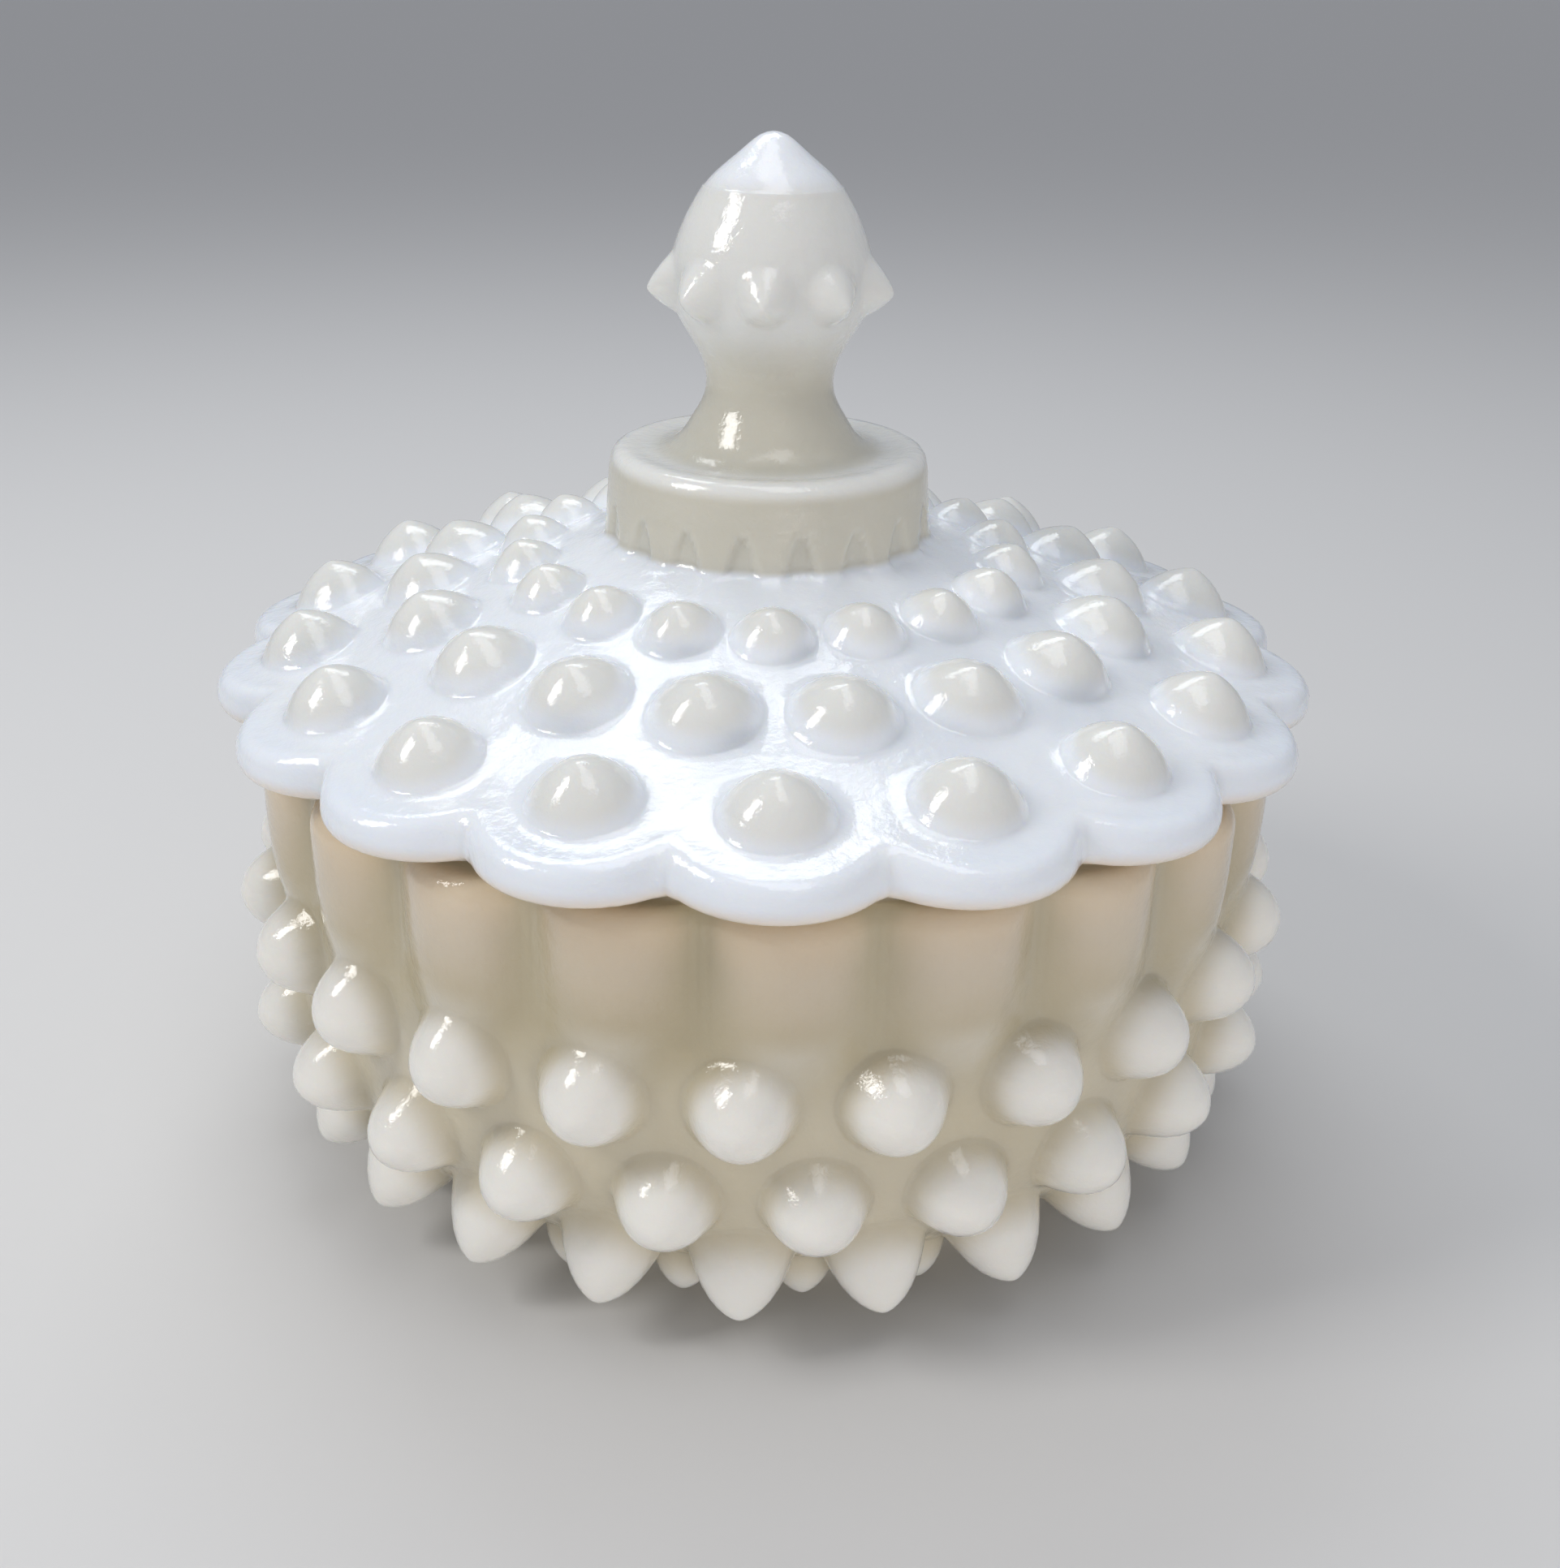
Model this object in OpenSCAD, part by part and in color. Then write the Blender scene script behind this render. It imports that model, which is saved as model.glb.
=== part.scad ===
// Covered cosmetic cream jar in pressed opal glass: a hobnail bowl and a lift-off lid.
// Origin: centre of the foot's resting face. +Z is up and is the turning axis of both pieces.
// All lengths are in millimetres.

/* [Show] */
// Piece to build

/* [Bowl] */
// Outside radius of the bowl's belly, between the hobs
belly_r = 75; // [74:0.5:76]
// Height at which the bowl's lip carries the lid
seat_z = 72.2; // [70.5:0.1:73]
// Glass thickness of the bowl's wall and floor
wall_t = 6; // [5:0.5:7.5]
// Outside radius of the ring the jar stands on
foot_r = 54.5; // [52:0.5:56]
// Number of hobs in each row round the bowl
bowl_hobs = 24; // [20:1:26]
// Base radius of the bowl's three large rows of hobs
bowl_hob_r = 7.2; // [6:0.1:7.4]
// How far a large bowl hob stands out of the glass
bowl_hob_h = 8; // [6:0.5:8.5]
// Number of upright swags in the band under the lid
swag_count = 21; // [18:1:24]

/* [Lid] */
// Radius from the axis to the peak of a scallop
lid_r = 83; // [81:0.5:83.5]
// Number of scallops, and of hobs in each ring of the lid
lid_hobs = 18; // [16:1:20]
// Turn of the lid on the bowl, in degrees
lid_turn = 3; // [0:1:20]
// Play between the locating ring and the bowl's mouth, on the radius
ring_play = 1.3; // [0.8:0.1:2]

/* [Knob] */
// Overall height of the covered jar, foot to knob tip
total_h = 153.2; // [150:0.1:156]
// Radius of the fluted collar under the knob
collar_r = 24.4; // [22:0.2:26]
// Number of hobs round the knob
knob_hobs = 9; // [7:1:10]

/* [Hidden] */
$fn = 48;
glass = [0.93, 0.92, 0.88];
// body curve of the bowl: a quarter circle between the foot and the belly
turn_r = 28.5;
turn_x = belly_r - turn_r;
turn_z = 32.2;
mouth_r = belly_r - wall_t - 1.5;
lip_r = mouth_r + 3.6;
swag_top = seat_z - 2.8;
swag_r = 12.5;
swag_x = belly_r - 9.5;
swag_turn = 30 / 7;
// upper face of the lid: a cone that flattens outside the break radius; falls are per millimetre of radius
fall = 0.354;
edge_fall = 0.2;
break_r = 69;
lid_t = 5.2;
plate_r = lid_r - 8;
ring_out = mouth_r - ring_play;
ring_in = ring_out - 5;
scallop_r = 15.3;
collar_z = 95.9;
knob_z = total_h - 153.2;
knob_turn = -5.5;

function top_z(r) = collar_z - fall * (min(r, break_r) - 24.4) - edge_fall * max(r - break_r, 0);
function arc(cx, cz, r, a0, a1, n) = [for (i = [0:n])
    let(a = a0 + (a1 - a0) * i / n) [cx + r * sin(a), cz - r * cos(a)]];

// one hob standing on z = 0: the cap of a ball, its root sunk into the glass
module hob(r, h) {
    ball = (r * r + h * h) / (2 * h);
    translate([0, 0, h - ball])
        sphere(r = ball);
}

// hobs round the axis; lean is the angle of each hob's axis above the horizontal
module hob_ring(count, turn, x, z, lean, r, h) {
    for (i = [0:count - 1])
        rotate([0, 0, -90 + turn + i * 360 / count])
            translate([x, 0, z])
                rotate([0, 90 - lean, 0])
                    hob(r, h);
}

module bowl_skin() {
    foot = [[0, 2.2], [foot_r - 7, 2.2], [foot_r - 5.5, 0], [foot_r - 1.2, 0], [foot_r, 1.2], [foot_r, 5.2]];
    body = arc(turn_x, turn_z, turn_r, 22, 90, 5);
    top = [[belly_r, 44], [belly_r - 0.8, 54], [belly_r - 2, 62], [belly_r - 2.2, swag_top],
        [lip_r, swag_top], [lip_r, seat_z - 0.6], [lip_r - 0.6, seat_z], [0, seat_z]];
    rotate_extrude() polygon(concat(foot, body, top));
}

// one upright swag: narrow and sunk at the bottom, full and round-shouldered at the top
module swag() {
    rotate_extrude()
        polygon([[0, 36], [5, 36], [swag_r, 65], [swag_r - 0.2, 68], [swag_r - 2.2, swag_top + 0.1],
            [0, swag_top + 0.1]]);
}

module bowl_inside() {
    floor_z = turn_z - turn_r + wall_t;
    curve = arc(turn_x, turn_z, turn_r - wall_t, 0, 90, 5);
    top = [[belly_r - wall_t, 52], [mouth_r, 64], [mouth_r, seat_z - 1], [mouth_r + 1, seat_z + 1]];
    rotate_extrude() polygon(concat([[0, floor_z]], curve, top, [[0, seat_z + 1]]));
}

module bowl() {
    color(glass)
    difference() {
        union() {
            bowl_skin();
            for (i = [0:swag_count - 1])
                rotate([0, 0, -90 + swag_turn + i * 360 / swag_count])
                    translate([swag_x, 0, 0])
                        swag();
            hob_ring(bowl_hobs, 0, belly_r - 0.3, 42.2, 0, bowl_hob_r, bowl_hob_h);
            hob_ring(bowl_hobs, 180 / bowl_hobs, belly_r - 0.9, 26.8, -8, bowl_hob_r, bowl_hob_h);
            hob_ring(bowl_hobs, 0, turn_x + turn_r * cos(37) - 0.3, turn_z - turn_r * sin(37) + 0.2,
                -43, bowl_hob_r - 0.2, bowl_hob_h + 0.6);
            hob_ring(bowl_hobs, 180 / bowl_hobs, turn_x + turn_r * cos(56) - 0.2,
                turn_z - turn_r * sin(56) + 0.2, -58, 4.8, 4.8);
        }
        bowl_inside();
    }
}

// the turned core of the lid, solid right through; its rooms are cut out of it later
module lid_core() {
    rotate_extrude()
        polygon([[0, seat_z - 6.6], [plate_r - 1.5, seat_z - 6.6], [plate_r, seat_z + 1.5],
            [plate_r, top_z(plate_r)], [break_r, top_z(break_r)], [20, top_z(20)], [0, top_z(20)]]);
}

// the hollow inside the locating ring, which follows the cone above it
module lid_room() {
    rotate_extrude()
        polygon([[0, seat_z - 8], [ring_in + 2.4, seat_z - 8], [ring_in, seat_z - 5.6],
            [ring_in, top_z(ring_in) - lid_t - 1.5], [ring_in - 3, top_z(ring_in - 3) - lid_t],
            [20, top_z(22) - 6], [0, top_z(22) - 5.5]]);
}

// the space round the locating ring, under the seat
module seat_room() {
    rotate_extrude()
        polygon([[ring_out - 2.4, seat_z - 8], [lid_r + 8, seat_z - 8], [lid_r + 8, seat_z], [ring_out, seat_z],
            [ring_out, seat_z - 5.6]]);
}

module knob_core() {
    collar = [[0, collar_z - 4], [collar_r, collar_z - 3], [collar_r + 0.1, collar_z + 0.5],
        [collar_r - 0.5, 102], [collar_r - 0.8, 106], [collar_r - 1.6, 107.9], [collar_r - 3.1, 108.9],
        [collar_r - 4.6, 108.8], [collar_r - 7.4, 108.3], [14.6, 109.2], [12.6, 110.8]];
    neck = [[11.1, 113.3], [10.1, 114.8], [9.4, 117.6], [9.5, 120], [10, 121.9], [11.3, 124.1], [12.8, 126.6],
        [14, 129.4], [14.6, 132.4], [14.5, 135.6], [13.5, 139], [11.6, 142.9], [9.9, 145.7]];
    tip = [[8.2, 147.3], [5.9, 149.5], [3.6, 151.4], [1.6, 152.8], [0, 153.2]];
    rotate_extrude() polygon([for (p = concat(collar, neck, tip)) [p[0], p[1] + (p[1] > 109 ? knob_z : 0)]]);
}

// the thick outer band of the lid before its edge is scalloped
module rim() {
    z0 = seat_z - 0.2;
    z1 = top_z(lid_r - 4) + 0.2;
    edge = [[lid_r - 2.8, z0], [lid_r - 1, z0 + 0.5], [lid_r - 0.2, z0 + 1.7], [lid_r, z0 + 3],
        [lid_r - 0.5, z1 - 1.4], [lid_r - 1.7, z1 - 0.4], [lid_r - 4, z1]];
    rotate_extrude() polygon(concat([[60, z0 + 5], [plate_r - 3, z0 + 0.6]], edge, [[break_r, top_z(break_r) + 0.1],
        [60, top_z(60) - 1]]));
}

// upright block whose outline is the ring of scallops
module scalloped_block() {
    translate([0, 0, seat_z - 5])
        linear_extrude(height = 20)
            union() {
                circle(r = lid_r - 9, $fn = 96);
                for (i = [0:lid_hobs - 1])
                    rotate(-90 + i * 360 / lid_hobs)
                        translate([lid_r - scallop_r, 0])
                            circle(r = scallop_r);
            }
}

module lid() {
    color(glass)
    rotate([0, 0, lid_turn]) {
        difference() {
            union() {
                lid_core();
                intersection() {
                    rim();
                    scalloped_block();
                }
                hob_ring(lid_hobs, 0, 69, top_z(69) - 0.1, 76, 7.5, 5.9);
                hob_ring(lid_hobs, 180 / lid_hobs, 51.7, top_z(51.7) - 0.1, 70, 7.6, 5);
                hob_ring(lid_hobs, 0, 36.7, top_z(36.7) - 0.1, 74, 5.8, 4);
                knob_core();
                hob_ring(knob_hobs, knob_turn, 13.4, 132 + knob_z, -4, 4.1, 4);
            }
            lid_room();
            seat_room();
            // small pointed flutes round the foot of the collar
            for (i = [0:lid_hobs - 1])
                rotate([0, 0, -90 + (i + 0.5) * 360 / lid_hobs])
                    translate([collar_r + 1.1, 0, collar_z - 0.6])
                        cylinder(r1 = 2.7, r2 = 0.05, h = 7.4, $fn = 24);
        }
    }
}

bowl();
lid();
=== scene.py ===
import math

import bmesh
import bpy
from mathutils import Matrix, Vector


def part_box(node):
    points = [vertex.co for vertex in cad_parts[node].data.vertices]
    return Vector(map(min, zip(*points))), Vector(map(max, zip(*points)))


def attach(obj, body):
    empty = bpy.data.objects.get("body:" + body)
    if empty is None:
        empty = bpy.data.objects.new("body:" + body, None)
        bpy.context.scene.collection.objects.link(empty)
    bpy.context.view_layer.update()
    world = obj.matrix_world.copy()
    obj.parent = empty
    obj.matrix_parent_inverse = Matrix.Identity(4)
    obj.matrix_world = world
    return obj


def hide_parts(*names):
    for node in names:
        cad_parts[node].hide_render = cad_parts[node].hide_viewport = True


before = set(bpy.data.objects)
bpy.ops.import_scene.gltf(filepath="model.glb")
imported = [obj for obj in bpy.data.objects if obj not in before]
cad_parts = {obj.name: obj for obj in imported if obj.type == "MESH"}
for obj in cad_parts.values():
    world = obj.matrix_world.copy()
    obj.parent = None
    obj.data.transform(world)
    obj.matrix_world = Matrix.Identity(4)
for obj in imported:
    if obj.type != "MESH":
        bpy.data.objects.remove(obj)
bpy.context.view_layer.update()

bl_info = {
    "name": "Opal Glass Hobnail Jar",
    "version": (1, 0, 0),
    "blender": (4, 5, 0),
    "location": "View3D > Sidebar > Jar",
    "description": "Covered cream jar in pressed opal glass: hobnail bowl, scalloped lid and spired knob",
    "category": "Object",
}

MM = 0.001
BOWL_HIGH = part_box("bowl")[1]
LID_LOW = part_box("lid")[0]


# ---------------------------------------------------------------- sizes and colours


class JarSizes(bpy.types.PropertyGroup):
    """Sizes of the two pressings"""

    bowl_tip_radius: bpy.props.FloatProperty(
        name="Bowl hob tips", description="Radius out to the tips of the bowl's large hobs",
        default=BOWL_HIGH[0] - 0.0001, unit="LENGTH", precision=4)
    belly_radius: bpy.props.FloatProperty(
        name="Belly radius", description="Outside radius of the bowl between its hobs",
        default=0.075, unit="LENGTH", precision=4)
    wall: bpy.props.FloatProperty(
        name="Wall", description="Glass thickness of the bowl", default=0.006, unit="LENGTH", precision=4)
    seat: bpy.props.FloatProperty(
        name="Seat height", description="Height at which the lid rests on the bowl's lip",
        default=LID_LOW[2] + 0.0066, unit="LENGTH", precision=4)
    lid_radius: bpy.props.FloatProperty(
        name="Lid radius", description="Radius out to the peaks of the lid's scallops",
        default=0.0829, unit="LENGTH", precision=4)
    lid_turn: bpy.props.FloatProperty(
        name="Lid turn", description="How far the lid is turned on the bowl",
        default=math.radians(3.0), subtype="ANGLE")


def tone(name, description, default):
    """A colour setting shown in the panel."""
    return bpy.props.FloatVectorProperty(
        name=name, description=description, default=default, subtype="COLOR", min=0.0, max=1.0)


class JarGlass(bpy.types.PropertyGroup):
    """Colours of the opal glass, several of them carrying painted shade, painted glow or painted reflection
    """

    lid_colour: tone("Lid", "Cone of the lid", (0.84, 0.875, 0.93))
    # painted shade: the hobs, collar and knob are greyer than the cone as they catch less of the top light
    hob_shade_colour: tone("Lid hobs", "Hobs, collar and knob of the lid", (0.76, 0.765, 0.74))
    # the rim's blue-white is partly the opal's own cast where the glass is thin and partly a painted
    # reflection of the cool light from above
    rim_colour: tone("Rim", "Blue-white bloom of the scalloped rim", (0.80, 0.85, 0.93))
    # painted shade: the collar's sides and the neck are darker and warmer where the top light reaches them
    # less
    stem_shade_colour: tone("Stem", "Creamier glass of the collar and neck", (0.60, 0.575, 0.48))
    bowl_colour: tone("Bowl", "Solid hobs of the bowl and its inside", (0.86, 0.85, 0.81))
    # painted shade: the bare wall is tan between the hobs and darker still high up under the lid and
    # between the swags; the swag crests lighter
    wall_shade_colour: tone("Wall", "Wall of the bowl between the hobs", (0.62, 0.56, 0.42))
    shade_colour: tone("Shade", "Wall between the swags", (0.49, 0.425, 0.28))
    swag_colour: tone("Swags", "Crests of the upright swags", (0.62, 0.535, 0.41))
    # painted glow: warm light shining through thin glass, at the swag tops under the lid and the lower edge
    # of the lid's rim
    amber_glow_colour: tone("Amber", "Thin glass with light behind it", (0.84, 0.66, 0.45))
    floor_colour: tone("Floor", "The plain floor", (0.72, 0.715, 0.71))


# ---------------------------------------------------------------- curves shared by both pieces


def smooth_max(a, b, k):
    """The larger of two lengths, with a fillet of size k where they meet."""
    if a - b > k:
        return a
    if b - a > k:
        return b
    h = (k - abs(a - b)) / k
    return max(a, b) + h * h * k / 4


def soften(e, w):
    """Rounds the bottom of a valley; e is the angle away from it and w the size of the rounding."""
    return e if e > 2 * w else e * e / (4 * w) + w


def ease(t):
    """0 to 1 with level ends."""
    t = min(max(t, 0.0), 1.0)
    return t * t * (3 - 2 * t)


def through(points, t):
    """The point at t, from 0 to 1, on a smooth curve through the points."""
    n = len(points) - 1
    x = min(max(t, 0.0), 1.0) * n
    i = min(int(x), n - 1)
    f = x - i
    p = [points[min(max(j, 0), n)] for j in (i - 1, i, i + 1, i + 2)]
    out = []
    for k in (0, 1):
        a, b, c, d = (q[k] for q in p)
        out.append(b + 0.5 * f * (c - a + f * (2 * a - 5 * b + 4 * c - d + f * (3 * (b - c) + d - a))))
    return out


def radius_at(points, z):
    """Radius, at height z, of a turned profile given as (radius, height) pairs that only climb."""
    n = len(points) - 1
    for i in range(n):
        if z <= points[i + 1][1] or i == n - 1:
            lo, hi = i / n, (i + 1) / n
            for _ in range(24):
                mid = (lo + hi) / 2
                if through(points, mid)[1] < z:
                    lo = mid
                else:
                    hi = mid
            return through(points, (lo + hi) / 2)[0]


def around(r, turn, z):
    """A point at a radius, a turn from the front, and a height; millimetres in, metres out."""
    return Vector((r * math.sin(turn) * MM, -r * math.cos(turn) * MM, z * MM))


def sheet(bm, across, up, place):
    """Lays a grid of faces and moves every corner to place(u, v), with u and v from 0 to 1."""
    made = bmesh.ops.create_grid(bm, x_segments=across, y_segments=up, size=0.5)
    for v in made["verts"]:
        v.co = place(v.co.x + 0.5, v.co.y + 0.5)


def turned(bm, around_count, rings):
    """A band of faces through rings, each a function of the turn that gives a point."""
    last = len(rings) - 1
    sheet(bm, around_count, last, lambda u, v: rings[round(v * last)](u * math.tau))


def circle(r, z):
    """A plain ring of radius r at height z."""
    return lambda turn: around(r, turn, z)


def level(value):
    """The same value at every turn."""
    return lambda turn: value


def wave(middle, swing, count, dip):
    """A value that rises and falls count times round the jar, lowest at the turn called dip."""
    return lambda turn: middle - swing * math.cos(count * (turn - dip))


def outward(turn, lean):
    """The direction away from the jar's axis at a turn, leaning up by an angle."""
    return Vector((math.cos(lean) * math.sin(turn), -math.cos(lean) * math.cos(turn), math.sin(lean)))


FLANK_POWER = 3
HOB_RINGS = (1.05, 0.985, 0.92, 0.83, 0.71, 0.56, 0.41, 0.27, 0.15, 0.06, 0.0)


def hob_profile(r, h, point, fillet, blunt=0.1):
    """Radius and height of each ring of a hob, from its foot fillet to its tip.

    point is the share of the height that falls in a straight cone, and the rest rounds the flank; blunt
    rounds the tip.
    """
    foot = point + FLANK_POWER * (1 - point)

    def fall(q):
        q = (math.sqrt(q * q + blunt * blunt) - blunt) / (math.sqrt(1 + blunt * blunt) - blunt)
        if q > 1:
            return h * foot * (1 - q)
        return h * (1 - point * q - (1 - point) * q ** FLANK_POWER)

    start = 1 + fillet / (h * foot)
    rings = [start, (start + HOB_RINGS[0]) / 2] if start > 1.1 else [start]
    rings += [q for q in HOB_RINGS if q < start]
    return [(r * q, smooth_max(fall(q), 0.0, fillet)) for q in rings]


def corner_swings(wide, low, high):
    """Where a hob's rings meet the corners of its patch: half way to the corners' own directions."""
    below = (math.atan2(low, wide) - math.pi / 4) / 2
    above = (math.atan2(high, wide) + math.pi / 4) / 2
    return -math.pi - below, below, above, math.pi - above, math.pi - below


def patch_edge(mid, half, low, high, skin):
    """The rim of a hob's patch as edge(side, t), with the sides below, right, above and left."""

    def edge(side, t):
        turn = mid + half * ((2 * t - 1), 1, (1 - 2 * t), -1)[side]
        lo, hi = low(turn), high(turn)
        return skin(turn, (lo, lo + (hi - lo) * t, hi, hi + (lo - hi) * t)[side])

    return edge


def hob_cell(bm, across, up, edge, flat, axis, h, profile, corners):
    """One hob and the patch of glass round it.

    edge(side, t) is a point on the patch's rim, flat(x, y, share) a point of the glass at an offset
    from the hob's centre, and axis the way the hob points. corners come from corner_swings.
    """
    total = 2 * (across + up)
    last = 1 + len(profile)
    starts = (0, across, across + up, 2 * across + up)
    counts = (across, up, across, up)

    def place(u, v):
        i = round(u * total) % total
        j = round(v * last)
        side = max(k for k in range(4) if i >= starts[k])
        t = (i - starts[side]) / counts[side]
        swing = corners[side] + (corners[side + 1] - corners[side]) * t
        q, lift = profile[max(j - 2, 0)]
        inner = flat(q * math.cos(swing), q * math.sin(swing), lift / h) + axis * (lift * MM)
        if j < 2:
            return edge(side, t).lerp(inner, j / 2)
        return inner

    sheet(bm, total, last, place)


def finish_piece(bm, name, body, node, material):
    """Welds the sheets, turns the faces outward and hands the piece to the frame."""
    bmesh.ops.remove_doubles(bm, verts=bm.verts, dist=0.00002)
    bmesh.ops.recalc_face_normals(bm, faces=bm.faces)
    for f in bm.faces:
        f.smooth = True
    open_edges = [e for e in bm.edges if len(e.link_faces) != 2]
    print(name, "faces", len(bm.faces), "open edges", len(open_edges))
    mesh = bpy.data.meshes.new(name)
    bm.to_mesh(mesh)
    bm.free()
    obj = bpy.data.objects.new(name, mesh)
    bpy.context.scene.collection.objects.link(obj)
    mesh.materials.append(material)
    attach(obj, body)
    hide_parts(node)


# ---------------------------------------------------------------- glass


class Recipe:
    """Adds nodes to a new material and wires them together."""

    def __init__(self, name):
        self.mat = bpy.data.materials.new(name)
        self.mat.use_nodes = True
        self.tree = self.mat.node_tree
        self.glass = self.tree.nodes["Principled BSDF"]
        self.glass.location = (1200, 0)
        self.tree.nodes["Material Output"].location = (1500, 0)
        self.count = 0
        self.place = self.node("ShaderNodeTexCoord", {}).outputs["Object"]
        split = self.node("ShaderNodeSeparateXYZ", {0: self.place})
        self.z = split.outputs["Z"]
        flat = self.node("ShaderNodeVectorMath", {0: self.place, 1: (1.0, 1.0, 0.0)}, operation="MULTIPLY")
        length = self.node("ShaderNodeVectorMath", {0: flat.outputs["Vector"]}, operation="LENGTH")
        self.r = length.outputs["Value"]

    def node(self, kind, feeds, **settings):
        """Adds a node; feeds gives each input a value or another node's socket."""
        n = self.tree.nodes.new(kind)
        n.location = (-1400 + 210 * (self.count // 6), 500 - 190 * (self.count % 6))
        self.count += 1
        for key, value in settings.items():
            setattr(n, key, value)
        for key, value in feeds.items():
            if isinstance(value, bpy.types.NodeSocket):
                self.tree.links.new(value, n.inputs[key])
            else:
                n.inputs[key].default_value = value
        return n

    def math(self, how, a, b=0.0):
        """One step of arithmetic."""
        return self.node("ShaderNodeMath", {0: a, 1: b}, operation=how).outputs[0]

    def ramp(self, value, start, end, low=0.0, high=1.0):
        """Eases from low to high as the value goes from start to end."""
        feeds = {"Value": value, "From Min": start, "From Max": end, "To Min": low, "To Max": high}
        return self.node("ShaderNodeMapRange", feeds, interpolation_type="SMOOTHSTEP").outputs["Result"]

    def noise(self, scale, detail, rough=0.5):
        """Noise from 0 to 1, fixed to the glass."""
        feeds = {"Vector": self.place, "Scale": scale, "Detail": detail, "Roughness": rough}
        return self.node("ShaderNodeTexNoise", feeds).outputs["Fac"]

    def blend(self, share, a, b):
        """Colour a, turning to b as share goes from 0 to 1."""
        a, b = ((*c, 1.0) if isinstance(c, tuple) else c for c in (a, b))
        return self.node("ShaderNodeMix", {0: share, 6: a, 7: b}, data_type="RGBA").outputs[2]

    def surface(self, colour, frost, swell):
        """Wires the colour, the fire-polished gloss and the slight waviness of a pressed face."""
        veil = self.ramp(self.noise(34.0, 3.0), 0.35, 0.75, 0.0, 0.10)
        colour = self.blend(veil, colour, (0.93, 0.92, 0.88))
        self.tree.links.new(colour, self.glass.inputs["Base Color"])
        smear = self.ramp(self.noise(60.0, 4.0), 0.3, 0.7, 0.05, 0.13)
        self.tree.links.new(self.math("ADD", smear, frost), self.glass.inputs["Roughness"])
        ripple = self.noise(110.0, 2.0)
        crimp = self.math("MULTIPLY", self.noise(620.0, 3.0, 0.6), 0.34)
        grain = self.math("MULTIPLY", self.noise(2600.0, 2.0), self.math("MULTIPLY", frost, 0.45))
        height = self.math("ADD", self.math("ADD", ripple, crimp), grain)
        bump = self.node("ShaderNodeBump", {"Height": height, "Strength": 0.6, "Distance": swell})
        self.tree.links.new(bump.outputs["Normal"], self.glass.inputs["Normal"])
        self.glass.inputs["IOR"].default_value = 1.52
        self.glass.inputs["Subsurface Weight"].default_value = 0.45
        self.glass.inputs["Subsurface Radius"].default_value = (1.0, 0.80, 0.58)
        self.glass.inputs["Subsurface Scale"].default_value = 0.005
        self.glass.inputs["Coat Weight"].default_value = 0.35
        self.glass.inputs["Coat Roughness"].default_value = 0.04
        return self.mat


def bowl_glass(glass):
    """Cream opal glass: painted shade makes the bare wall tan, whiter in the solid hobs, with a painted
    amber glow up under the lid.
    """
    mix = Recipe("opal_bowl")
    # depth grows from the inside of the wall out through the glass and into the hobs
    across = mix.math("SUBTRACT", mix.r, 0.0465)
    under = mix.math("MINIMUM", mix.math("SUBTRACT", mix.z, 0.0322), 0.0)
    point = mix.node("ShaderNodeCombineXYZ", {0: across, 1: under}).outputs[0]
    depth = mix.node("ShaderNodeVectorMath", {0: point}, operation="LENGTH").outputs["Value"]
    # painted shade: the wall tan between the hobs, the solid hobs lighter, darker high up and in the
    # valleys between the swags
    hobs = mix.math("MULTIPLY", mix.ramp(depth, 0.0284, 0.0335, 0.0, 0.94), mix.ramp(mix.z, 0.0550, 0.0490))
    band = mix.math("MULTIPLY", mix.ramp(depth, 0.0268, 0.0315), mix.ramp(mix.z, 0.0480, 0.0640))
    colour = mix.blend(mix.ramp(mix.z, 0.0400, 0.0520), tuple(glass.wall_shade_colour), tuple(glass.shade_colour))
    colour = mix.blend(band, colour, tuple(glass.swag_colour))
    # painted glow of warm light through the thin tops of the swags under the lid
    glow = mix.ramp(mix.z, 0.0610, 0.0695, 0.0, 0.35)
    glow = mix.math("MULTIPLY", glow, mix.ramp(depth, 0.0270, 0.0290))
    colour = mix.blend(glow, colour, tuple(glass.amber_glow_colour))
    colour = mix.blend(hobs, colour, tuple(glass.bowl_colour))
    colour = mix.blend(mix.ramp(depth, 0.0265, 0.0235), colour, tuple(glass.bowl_colour))
    return mix.surface(colour, 0.0, 0.0007)


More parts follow.
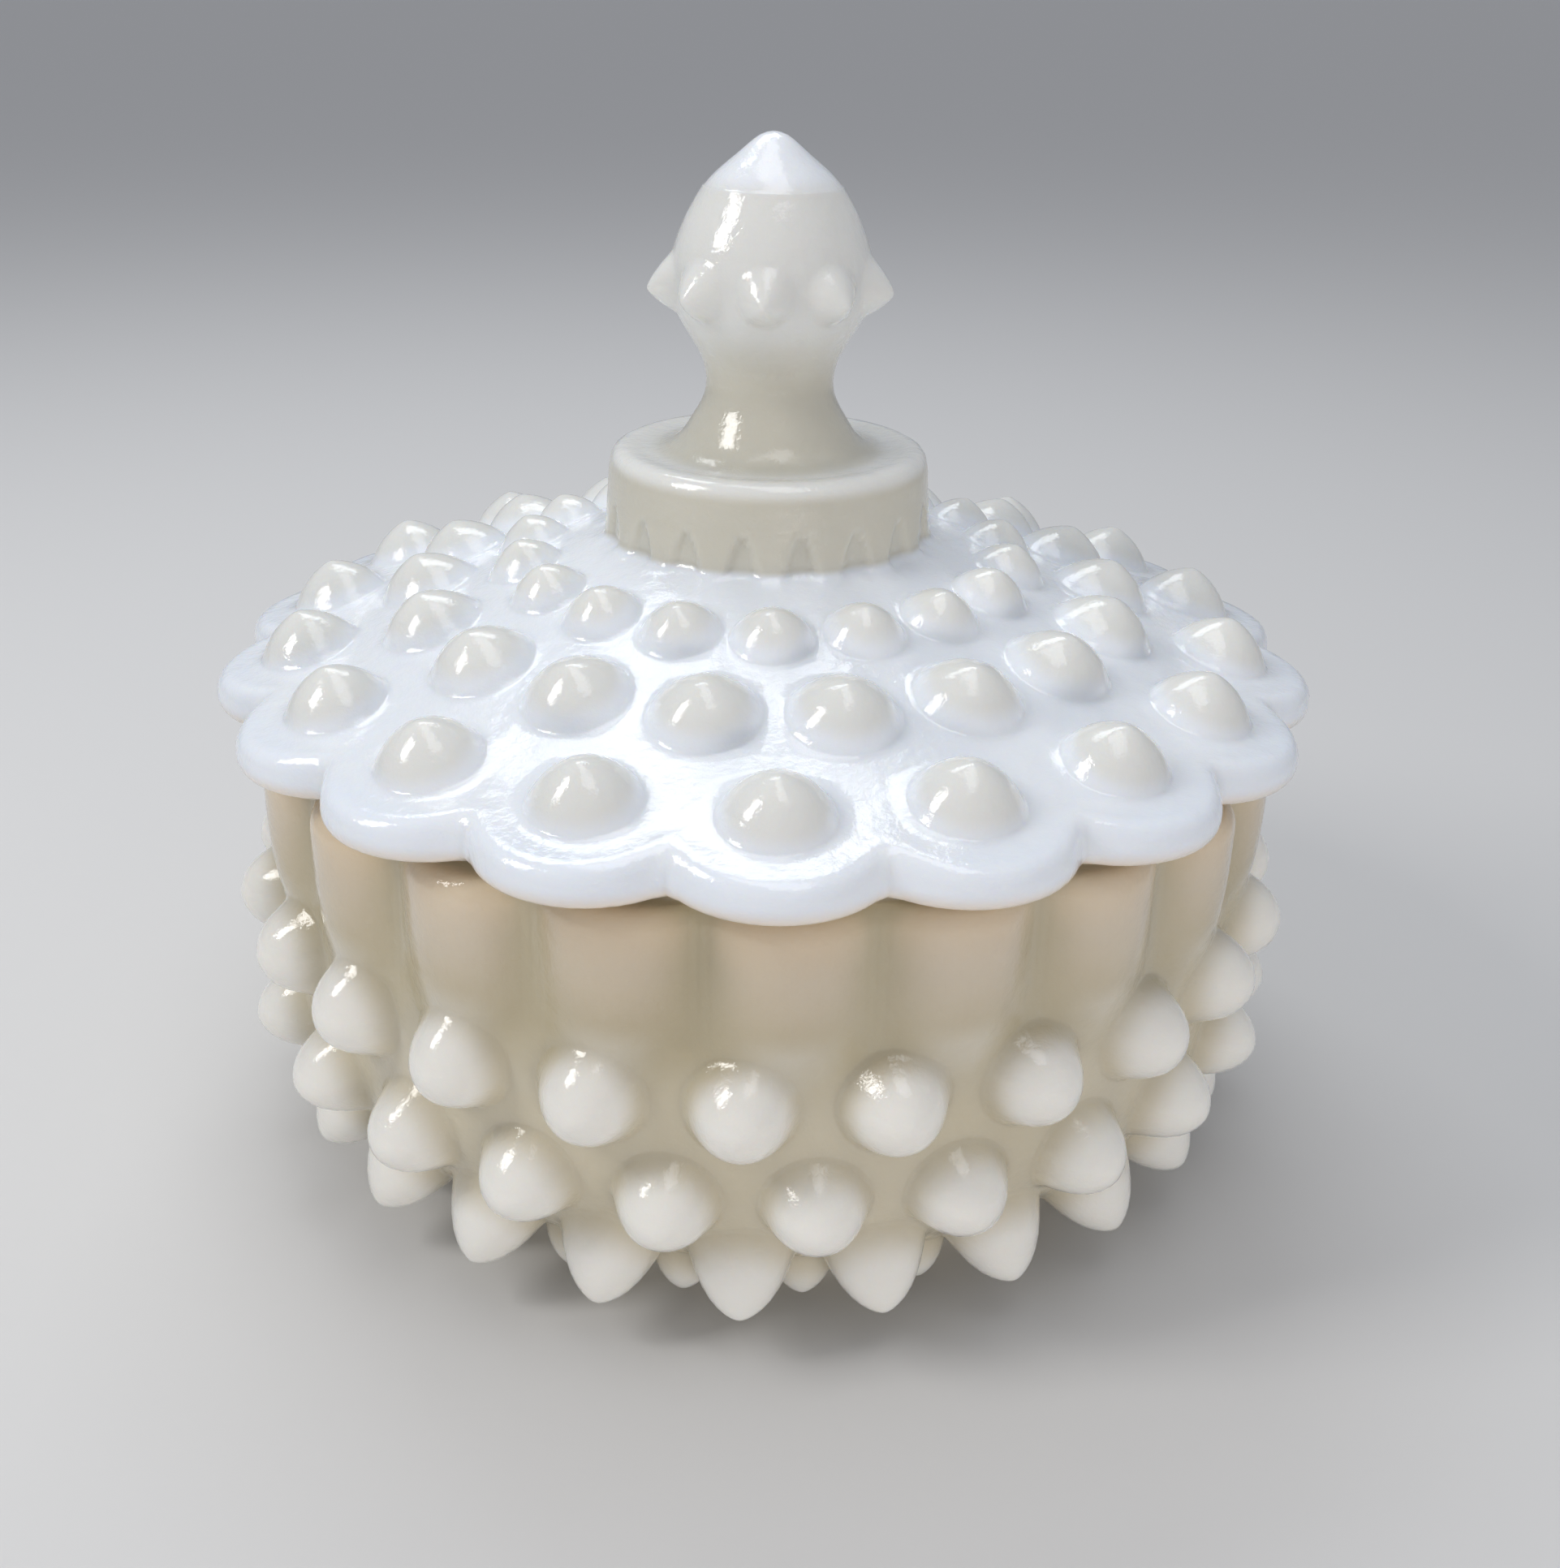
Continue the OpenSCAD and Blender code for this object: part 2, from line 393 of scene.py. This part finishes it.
def lid_glass(glass):
    """Whiter opal glass: blue-white cone and rim, the rim's blue partly a painted reflection; painted shade
    makes the hobs, collar and knob greyer and creamier.
    """
    mix = Recipe("opal_lid")
    # stand is the height above the cone's slope, so it picks out the hobs
    stand = mix.math("ADD", mix.z, mix.math("MULTIPLY", mix.r, CONE_SLOPE))
    inside = mix.ramp(mix.r, 0.0795, 0.0765)
    hobs = mix.math("MULTIPLY", mix.ramp(stand, 0.1053, 0.1078), inside)
    # painted shade: hobs, collar and knob greyer than the cone
    colour = mix.blend(hobs, tuple(glass.lid_colour), tuple(glass.hob_shade_colour))
    # rim blue-white: partly the opal's own cast, partly a painted reflection of the cool light above
    rim = mix.ramp(mix.r, 0.0745, 0.0800, 0.0, 0.85)
    colour = mix.blend(rim, colour, tuple(glass.rim_colour))
    # painted glow: the lower edge of the rim warmed as by light from below and through the rim
    low = mix.math("MULTIPLY", mix.ramp(mix.z, 0.0752, 0.0722, 0.0, 0.6), mix.ramp(mix.r, 0.0680, 0.0720))
    colour = mix.blend(low, colour, tuple(glass.amber_glow_colour))
    # painted shade on the collar's sides and the neck; the dished top of the collar is kept out of it as it
    # faces the top light
    collar_and_neck_shade = mix.math("MULTIPLY", mix.ramp(mix.z, 0.1290, 0.1190, 0.0, 0.9), mix.ramp(mix.r, 0.0280, 0.0255))
    collar_and_neck_shade = mix.math("MULTIPLY", collar_and_neck_shade, mix.ramp(mix.z, 0.0958, 0.0970))
    lit_collar_top = mix.math("MULTIPLY", mix.ramp(mix.z, 0.1060, 0.1080), mix.ramp(mix.r, 0.0150, 0.0185))
    collar_and_neck_shade = mix.math("SUBTRACT", collar_and_neck_shade, mix.math("MULTIPLY", collar_and_neck_shade, lit_collar_top))
    colour = mix.blend(collar_and_neck_shade, colour, tuple(glass.stem_shade_colour))
    # painted highlight: the spire above the crease goes back to the lighter cone colour where it faces the
    # top light
    colour = mix.blend(mix.ramp(mix.z, 0.1450, 0.1480), colour, tuple(glass.lid_colour))
    clear = mix.math("SUBTRACT", 1.0, hobs)
    frost = mix.math("MULTIPLY", mix.ramp(mix.noise(90.0, 3.0, 0.5), 0.42, 0.66, 0.0, 0.12), clear)
    frost = mix.math("MULTIPLY", frost, mix.ramp(mix.r, 0.0740, 0.0640))
    return mix.surface(colour, frost, 0.0006)


# ---------------------------------------------------------------- bowl

BOWL_HOBS = 24
BOWL_STEP = 14
BOWL_AROUND = BOWL_HOBS * BOWL_STEP
SWAGS = 21
SWAG_TURN = math.radians(30 / 7)
SWAG_LOW = 38
SHOULDER = 3.2


class Bowl:
    """The bowl's curves, in millimetres."""

    def __init__(self, sizes):
        self.belly = sizes.belly_radius / MM
        self.seat = sizes.seat / MM
        self.wall = sizes.wall / MM
        self.tip = sizes.bowl_tip_radius / MM
        self.turn_r = 28.5
        self.turn_x = self.belly - self.turn_r
        self.turn_z = 32.2
        self.top = self.seat - 2.1
        self.fullness = [(f, 0) for f in (5.5, 8.2, 10.3, 11.5, 12.1, 12.4, 12.5, 12.5, 12.5)]

    def bare(self, s):
        """Radius and height of the bare glass at arc length s up from the lowest point."""
        quarter = self.turn_r * math.pi / 2
        if s < quarter:
            a = s / self.turn_r
            return self.turn_x + self.turn_r * math.sin(a), self.turn_z - self.turn_r * math.cos(a)
        z = self.turn_z + s - quarter
        return self.belly - 2.2 * ease((z - 44) / 20), z

    def swag(self, turn, z):
        """Radius of the swags at a turn and height; 0 where there are none."""
        if z < SWAG_LOW:
            return 0.0
        full = through(self.fullness, (z - SWAG_LOW) / 32)[0]
        if z > self.top - SHOULDER:
            t = min((z - self.top + SHOULDER) / SHOULDER, 1.0)
            full -= 2.6 * (1 - math.sqrt(max(1 - t * t, 0.0)))
        pitch = math.tau / SWAGS
        off = (turn - SWAG_TURN + pitch / 2) % pitch - pitch / 2
        off = math.copysign(pitch / 2 - soften(pitch / 2 - abs(off), 0.012), off)
        x = self.belly - 9.5
        under = full * full - (x * math.sin(off)) ** 2
        return x * math.cos(off) + math.sqrt(under) if under > 0 else 0.0

    def skin(self, turn, s):
        """A point of the outer glass, swags included."""
        r, z = self.bare(s)
        return around(smooth_max(r, self.swag(turn, z), 3.0), turn, z)

    def plain(self, turn, s):
        """A point of the outer glass as if it had no swags."""
        r, z = self.bare(s)
        return around(r, turn, z)

    def length_at(self, z):
        """Arc length of a height above the turn."""
        return self.turn_r * math.pi / 2 + z - self.turn_z


def bowl_row(bm, bowl, phase, s0, lean, r, h, low, high, point=0.3, up=BOWL_STEP, fillet=2.2):
    """One ring of hobs with the glass between them.

    s0 is the arc length up to their centres, lean their tilt in degrees, r and h their size, and low and
    high give the seams below and above the row at a turn.
    """
    radius = bowl.bare(s0)[0]
    half = math.pi / BOWL_HOBS
    profile = hob_profile(r, h, point, fillet, 0.2)
    seam = phase + half
    corners = corner_swings(half * radius, low(seam) - s0, high(seam) - s0)
    for k in range(BOWL_HOBS):
        mid = phase + k * 2 * half

        def flat(x, y, share, mid=mid):
            turn = mid + x / radius
            return bowl.skin(turn, s0 + y).lerp(bowl.plain(turn, s0 + y), share)

        edge = patch_edge(mid, half, low, high, bowl.skin)
        hob_cell(bm, BOWL_STEP, up, edge, flat, outward(mid, math.radians(lean)), h, profile, corners)


def build_bowl(sizes, material):
    """The bowl: four rows of hobs, the band of swags, the lip, the hollow and the foot ring."""
    bowl = Bowl(sizes)
    bm = bmesh.new()
    s1 = bowl.length_at(42.2)
    s2 = bowl.turn_r * math.radians(90 - 10.9)
    s3 = bowl.turn_r * math.radians(53)
    s4 = bowl.turn_r * math.radians(34)
    half = math.pi / BOWL_HOBS

    # seams between the rows swing round the hobs on both sides of them
    s_foot, s_band = 11.2, s1 + 8.8
    below_third = wave(19.9, 2.65, BOWL_HOBS, 0.0)
    below_second = wave((s2 + s3) / 2, 2.2, BOWL_HOBS, half)
    below_first = wave((s1 + s2) / 2, 1.2, BOWL_HOBS, 0.0)
    reach = bowl.tip - bowl.bare(s1)[0]
    bowl_row(bm, bowl, 0.0, s1, 0, 7.4, reach, below_first, level(s_band))
    bowl_row(bm, bowl, half, s2, -8, 7.4, reach, below_second, below_first, 0.34, fillet=1.6)
    bowl_row(bm, bowl, 0.0, s3, -44, 7.35, 9.0, below_third, below_second, 0.48, fillet=0.9)
    bowl_row(bm, bowl, half, s4, -60, 4.8, 4.9, level(s_foot), below_third, 0.48, up=8, fillet=0.4)

    # band of swags up to their round shoulders, then the lip that carries the lid
    s_top = bowl.length_at(bowl.top)
    s_shoulder = s_top - SHOULDER
    heights = [s_band + (s_shoulder - s_band) * i / 9 for i in range(10)]
    heights += [s_shoulder + SHOULDER * math.sin(math.radians(a)) for a in (18, 34, 50, 64, 77, 90)]
    rings = [(lambda turn, s=s: bowl.skin(turn, s)) for s in heights]
    lip = bowl.belly - bowl.wall + 2.1
    mouth = lip - 3.6
    rings += [circle(lip + r, bowl.top + z) for r, z in ((0.7, 0.02), (0.15, 0.3), (0, 0.9))]
    rings += [circle(lip - r, bowl.seat - z) for r, z in ((0, 0.9), (0.25, 0.3), (0.9, 0.02))]
    rings += [circle(mouth + r, bowl.seat - z) for r, z in ((0.9, 0.02), (0.2, 0.3), (0, 1))]
    inner = bowl.turn_r - bowl.wall
    rings += [circle(mouth, 64), circle(bowl.belly - bowl.wall, 52), circle(bowl.belly - bowl.wall, 42)]
    for i in range(10):
        a = math.radians(90 - 10 * i)
        rings.append(circle(bowl.turn_x + inner * math.sin(a), bowl.turn_z - inner * math.cos(a)))
    floor = bowl.turn_z - inner
    rings += [circle(r, floor) for r in (34, 20, 8, 0)]
    turned(bm, BOWL_AROUND, rings)

    # under the bowl: the foot ring and the shallow hollow inside it
    foot = [bowl.bare(s_foot), (56.3, 5.3), (55.2, 4.5), (54.6, 3.4), (54.5, 2.2), (54.2, 1.1), (53.4, 0.3),
            (52.4, 0.0), (50.0, 0.0), (49.1, 0.25), (48.3, 0.9), (47.4, 1.8), (46.0, 2.2), (30.0, 2.2),
            (14.0, 2.2), (0.0, 2.2)]
    turned(bm, BOWL_AROUND, [circle(r, z) for r, z in foot])
    finish_piece(bm, "hobnail_bowl", "bowl", "bowl", material)


# ---------------------------------------------------------------- lid

LID_HOBS = 18
LID_STEP = 16
LID_AROUND = LID_HOBS * LID_STEP
KNOB_HOBS = 9
KNOB_STEP = LID_AROUND // KNOB_HOBS
KNOB_TURN = math.radians(-5.0)
CONE_SLOPE = 0.354
CONE_COSINE = 0.945
RIM_MIDDLE = 2.5
COLLAR_R = 24.4
FLUTE_TALL = 5.4
FLUTE_HALF = math.radians(6.8)
FLUTE_DEEP = 0.9
KNOB_LOW = 126.8
KNOB_HIGH = 138.4
KNOB_HOB_Z = 132.6
KNOB_HOB_R = 14.5

NECK = [(16.4, 108.55), (14.6, 109.3), (12.8, 110.9), (11.4, 113.1), (10.3, 114.9), (9.6, 116.6),
        (9.35, 118.2), (9.5, 120.0), (10.0, 121.8), (11.0, 123.8), (12.3, 125.9), (13.4, 127.8),
        (14.2, 129.8), (14.6, 132.4), (14.6, 135.0), (14.1, 137.4), (13.3, 139.6), (12.2, 142.0),
        (11.0, 144.1), (10.0, 145.7)]
SPIRE = [(9.72, 145.85), (9.1, 146.6), (8.1, 147.6), (6.7, 148.8), (5.3, 149.9), (4.0, 151.0), (2.8, 152.0),
         (1.5, 152.8), (0.0, 153.1)]


class Lid:
    """The lid's curves, in millimetres, before it is turned on its seat."""

    def __init__(self, sizes):
        self.seat = sizes.seat / MM
        self.radius = sizes.lid_radius / MM
        self.scallop = 15.3
        self.thin = 2.9

    def top(self, r):
        """Height of the upper face at a radius: a cone that flattens towards the rim."""
        bend = 2.5 * math.log(1 + math.exp((r - 69) / 2.5))
        return 95.9 - CONE_SLOPE * (r - COLLAR_R) + 0.154 * bend

    def outline(self, turn, inset):
        """Radius of the scalloped edge, moved in by inset."""
        pitch = math.tau / LID_HOBS
        off = (turn + pitch / 2) % pitch - pitch / 2
        off = pitch / 2 - soften(pitch / 2 - abs(off), 0.01)
        c = self.radius - self.scallop
        rho = self.scallop - inset
        return c * math.cos(off) + math.sqrt(max(rho * rho - (c * math.sin(off)) ** 2, 1.0))

    def edge(self, turn, swing):
        """A point of the rounded rim; swing runs from 90 degrees on top to -90 underneath."""
        c, s = math.cos(swing), math.sin(swing)
        inset = (self.thin if s > 0 else 1.9) * (1 - abs(c) ** 0.9)
        r = self.outline(turn, inset)
        crown = self.top(self.outline(turn, self.thin))
        mid = self.seat + RIM_MIDDLE
        z = mid + (crown - mid if s > 0 else mid - self.seat) * math.copysign(abs(s) ** 0.95, s)
        return around(r, turn, z)

    def skin(self, turn, r):
        """A point of the upper face between the hobs."""
        return around(r, turn, self.top(r))


def lid_row(bm, lid, phase, r0, lean, r, h, low, high):
    """One ring of hobs on the lid's cone."""
    half = math.pi / LID_HOBS
    profile = hob_profile(r, h, 0.56, 0.4, 0.13)
    seams = [q(phase + half) for q in (low, high)]
    corners = corner_swings(1, *((math.cos(half) - r0 / q) / math.sin(half) / CONE_COSINE for q in seams))
    for k in range(LID_HOBS):
        mid = phase + k * 2 * half

        def flat(x, y, share, mid=mid):
            q = r0 + y * CONE_COSINE
            return lid.skin(mid + math.atan2(x, q), math.hypot(q, x))

        edge = patch_edge(mid, half, low, high, lid.skin)
        hob_cell(bm, LID_STEP, LID_STEP, edge, flat, outward(mid, math.radians(lean)), h, profile, corners)


def flute(turn, up):
    """Depth of the pointed flutes cut into the foot of the collar, at a height up from that foot."""
    pitch = math.tau / LID_HOBS
    off = abs(turn % pitch - pitch / 2)
    climb = up / FLUTE_TALL
    if climb >= 1:
        return 0.0
    wide = FLUTE_HALF * math.sqrt(1 - climb)
    share = max(1.5 - 1.5 * (off / wide) ** 2, 0.0)
    return FLUTE_DEEP * min(share, 1.0) * (1 - 0.3 * climb)


def build_lid(sizes, material):
    """The lid: three rings of hobs, the scalloped rim, the underside, the collar and the knob."""
    lid = Lid(sizes)
    bm = bmesh.new()
    half = math.pi / LID_HOBS

    collar_foot = 29.4
    inner_seam = wave(43.3, 0.9, LID_HOBS, half)
    outer_seam = wave(60.4, 1.0, LID_HOBS, 0.0)
    lid_row(bm, lid, 0.0, 69.0, 77, 7.6, 6.0, outer_seam, lambda turn: lid.outline(turn, lid.thin))
    lid_row(bm, lid, half, 51.7, 69, 7.7, 5.3, inner_seam, outer_seam)
    lid_row(bm, lid, 0.0, 36.7, 74, 5.8, 4.2, level(collar_foot), inner_seam)

    # rounded scalloped rim and the flat seat under it
    swings = (90, 70, 54, 40, 27, 14, 0, -14, -27, -40, -54, -70, -90)
    rim = [(lambda turn, a=a: lid.edge(turn, math.radians(a))) for a in swings]
    mouth = sizes.belly_radius / MM - sizes.wall / MM - 1.5
    ring_out = mouth - 1.3
    ring_in = ring_out - 5
    low = lid.seat
    under = [(70, low), (ring_out + 0.8, low), (ring_out + 0.15, low - 0.25), (ring_out, low - 0.9),
             (ring_out, low - 5), (ring_out - 0.3, low - 6), (ring_out - 1.1, low - 6.5),
             (ring_in + 1.1, low - 6.5), (ring_in + 0.3, low - 6), (ring_in, low - 5), (ring_in, low - 1),
             (ring_in, lid.top(ring_in) - 8.6), (ring_in - 1.4, lid.top(ring_in) - 6.4),
             (ring_in - 4, lid.top(ring_in - 4) - 5.3), (45, lid.top(45) - 5.2), (32, lid.top(32) - 5.2),
             (23, lid.top(23) - 5.6), (18, lid.top(21) - 5.6), (9, lid.top(21) - 5.5),
             (0, lid.top(21) - 5.5)]
    turned(bm, LID_AROUND, rim + [circle(r, z) for r, z in under])

    # fluted collar, dished top and the flare of the neck
    base = lid.top(COLLAR_R)
    wall = []
    for up, r in ((0.9, 24.55), (1.8, 24.45), (2.8, 24.35), (3.9, 24.25), (5.0, 24.2), (6.0, 24.1),
                  (7.0, 24.0), (8.2, 23.95), (9.8, 23.85)):
        wall.append(lambda turn, up=up, r=r: around(r - flute(turn, up), turn, base + up))
    foot = [circle(collar_foot, lid.top(collar_foot)), circle(27.2, lid.top(27.2)),
            lambda turn: around(25.8 - 0.5 * flute(turn, 0.0), turn, lid.top(25.8) + 0.05),
            lambda turn: around(24.9 - 0.9 * flute(turn, 0.0), turn, base + 0.25)]
    brim = ((23.75, 106.4), (23.5, 107.5), (22.9, 108.35), (22.0, 108.8), (20.9, 108.85), (19.6, 108.6),
            (18.0, 108.45))
    dish = [circle(r, z) for r, z in brim]
    neck = []
    z_start = NECK[0][1]
    for i in range(20):
        t = i / 19
        z = z_start + (KNOB_LOW - z_start) * (t ** 1.15)
        neck.append(circle(radius_at(NECK, z), z))
    turned(bm, LID_AROUND, foot + wall + dish + neck)

    # ring of hobs round the knob, set a little below the belly of the spire
    half = math.pi / KNOB_HOBS
    h = 3.4
    profile = hob_profile(4.2, h, 0.85, 0.7)

    def skin(turn, z):
        return around(radius_at(NECK, z), turn, z)

    for k in range(KNOB_HOBS):
        mid = KNOB_TURN + k * 2 * half
        axis = Vector((math.sin(mid), -math.cos(mid), -0.25)).normalized()

        def flat(x, y, share, mid=mid):
            return skin(mid + x / KNOB_HOB_R, KNOB_HOB_Z + y)

        edge = patch_edge(mid, half, level(KNOB_LOW), level(KNOB_HIGH), skin)
        hob_cell(bm, KNOB_STEP, 10, edge, flat, axis, h, profile, corner_swings(1, -1, 1))

    crown = []
    for i in range(9):
        z = KNOB_HIGH + (NECK[-1][1] - KNOB_HIGH) * i / 8
        crown.append(circle(radius_at(NECK, z), z))
    crown += [circle(9.98, 145.78)] + [circle(*through(SPIRE, i / 12)) for i in range(13)]
    turned(bm, LID_AROUND, crown)
    bmesh.ops.rotate(bm, verts=bm.verts, cent=(0, 0, 0), matrix=Matrix.Rotation(sizes.lid_turn, 3, "Z"))
    finish_piece(bm, "hobnail_lid", "lid", "lid", material)


# ---------------------------------------------------------------- stage


def area_light(name, place, aim, width, height, watts, colour):
    """A soft lamp at a place, turned to its aim."""
    data = bpy.data.lights.new(name, "AREA")
    data.shape = "RECTANGLE"
    data.size = width
    data.size_y = height
    data.energy = watts
    data.color = colour
    obj = bpy.data.objects.new(name, data)
    obj.location = place
    obj.rotation_euler = (Vector(aim) - Vector(place)).to_track_quat("-Z", "Y").to_euler()
    bpy.context.scene.collection.objects.link(obj)
    return obj


def build_stage(glass):
    """Floor, sky, lamps and camera."""
    scene = bpy.context.scene
    bm = bmesh.new()
    bmesh.ops.create_grid(bm, x_segments=8, y_segments=8, size=30)
    mesh = bpy.data.meshes.new("floor")
    bm.to_mesh(mesh)
    bm.free()
    floor = bpy.data.objects.new("floor", mesh)
    scene.collection.objects.link(floor)
    mat = bpy.data.materials.new("floor_paper")
    mat.use_nodes = True
    paper = mat.node_tree.nodes["Principled BSDF"]
    paper.inputs["Base Color"].default_value = (*glass.floor_colour, 1.0)
    paper.inputs["Roughness"].default_value = 0.9
    mesh.materials.append(mat)

    world = bpy.data.worlds.new("studio")
    world.use_nodes = True
    world.node_tree.nodes["Background"].inputs["Color"].default_value = (0.90, 0.93, 1.0, 1.0)
    world.node_tree.nodes["Background"].inputs["Strength"].default_value = 0.40
    scene.world = world
    scene.view_settings.view_transform = "Standard"

    aim = (0, 0, 0.08)
    area_light("window_back", (-0.12, 0.40, 0.78), aim, 0.50, 0.26, 1.5, (0.93, 0.97, 1.0))
    area_light("window_left", (-0.56, -0.22, 0.58), aim, 0.20, 0.32, 2.0, (1.0, 0.98, 0.95))
    area_light("sky_top", (0.05, -0.10, 0.95), aim, 0.35, 0.80, 1.6, (0.97, 0.98, 1.0))
    fill = area_light("fill_front", (0.30, -0.80, 0.05), (0, 0, 0.03), 0.45, 0.10, 1.7, (1.0, 0.93, 0.88))
    fill.visible_glossy = False

    cam_data = bpy.data.cameras.new("camera")
    cam = bpy.data.objects.new("camera", cam_data)
    scene.collection.objects.link(cam)
    cam_data.sensor_width = 36.0
    cam_data.lens = 41.90
    cam_data.shift_x = 0.0108
    cam_data.shift_y = -0.0046
    cam_data.clip_start = 0.01
    turn, rise, away = math.radians(1.5), math.radians(24.37), 0.29443
    aim = Vector((0, 0, 0.05445))
    back = Vector((math.sin(turn) * math.cos(rise), -math.cos(turn) * math.cos(rise), math.sin(rise)))
    cam.location = aim + back * away
    cam.rotation_mode = "QUATERNION"
    roll = Matrix.Rotation(math.radians(0.976), 3, "Z").to_quaternion()
    cam.rotation_quaternion = (-back).to_track_quat("-Z", "Y") @ roll
    scene.camera = cam


# ---------------------------------------------------------------- operators


class JAR_OT_bowl(bpy.types.Operator):
    """Build the hobnail bowl"""

    bl_idname = "jar.bowl"
    bl_label = "Hobnail Bowl"

    def execute(self, context):
        build_bowl(context.scene.jar_sizes, bowl_glass(context.scene.jar_glass))
        return {"FINISHED"}


class JAR_OT_lid(bpy.types.Operator):
    """Build the scalloped lid with its collar and knob"""

    bl_idname = "jar.lid"
    bl_label = "Scalloped Lid"

    def execute(self, context):
        build_lid(context.scene.jar_sizes, lid_glass(context.scene.jar_glass))
        return {"FINISHED"}


class JAR_OT_stage(bpy.types.Operator):
    """Set the floor, lights and camera"""

    bl_idname = "jar.stage"
    bl_label = "Stage"

    def execute(self, context):
        build_stage(context.scene.jar_glass)
        return {"FINISHED"}


class JAR_PT_panel(bpy.types.Panel):
    """Builds the jar piece by piece"""

    bl_label = "Opal Glass Jar"
    bl_idname = "JAR_PT_panel"
    bl_space_type = "VIEW_3D"
    bl_region_type = "UI"
    bl_category = "Jar"

    def draw(self, context):
        col = self.layout.column(align=True)
        for op in (JAR_OT_bowl, JAR_OT_lid, JAR_OT_stage):
            col.operator(op.bl_idname)
        for group, cls in ((context.scene.jar_sizes, JarSizes), (context.scene.jar_glass, JarGlass)):
            for key in cls.__annotations__:
                col.prop(group, key)


CLASSES = (JarSizes, JarGlass, JAR_OT_bowl, JAR_OT_lid, JAR_OT_stage, JAR_PT_panel)


def register():
    for cls in CLASSES:
        bpy.utils.register_class(cls)
    bpy.types.Scene.jar_sizes = bpy.props.PointerProperty(type=JarSizes)
    bpy.types.Scene.jar_glass = bpy.props.PointerProperty(type=JarGlass)


def unregister():
    del bpy.types.Scene.jar_glass
    del bpy.types.Scene.jar_sizes
    for cls in reversed(CLASSES):
        bpy.utils.unregister_class(cls)


def main():
    register()
    bpy.ops.jar.bowl()
    bpy.ops.jar.lid()
    bpy.ops.jar.stage()


if __name__ == "__main__":
    main()
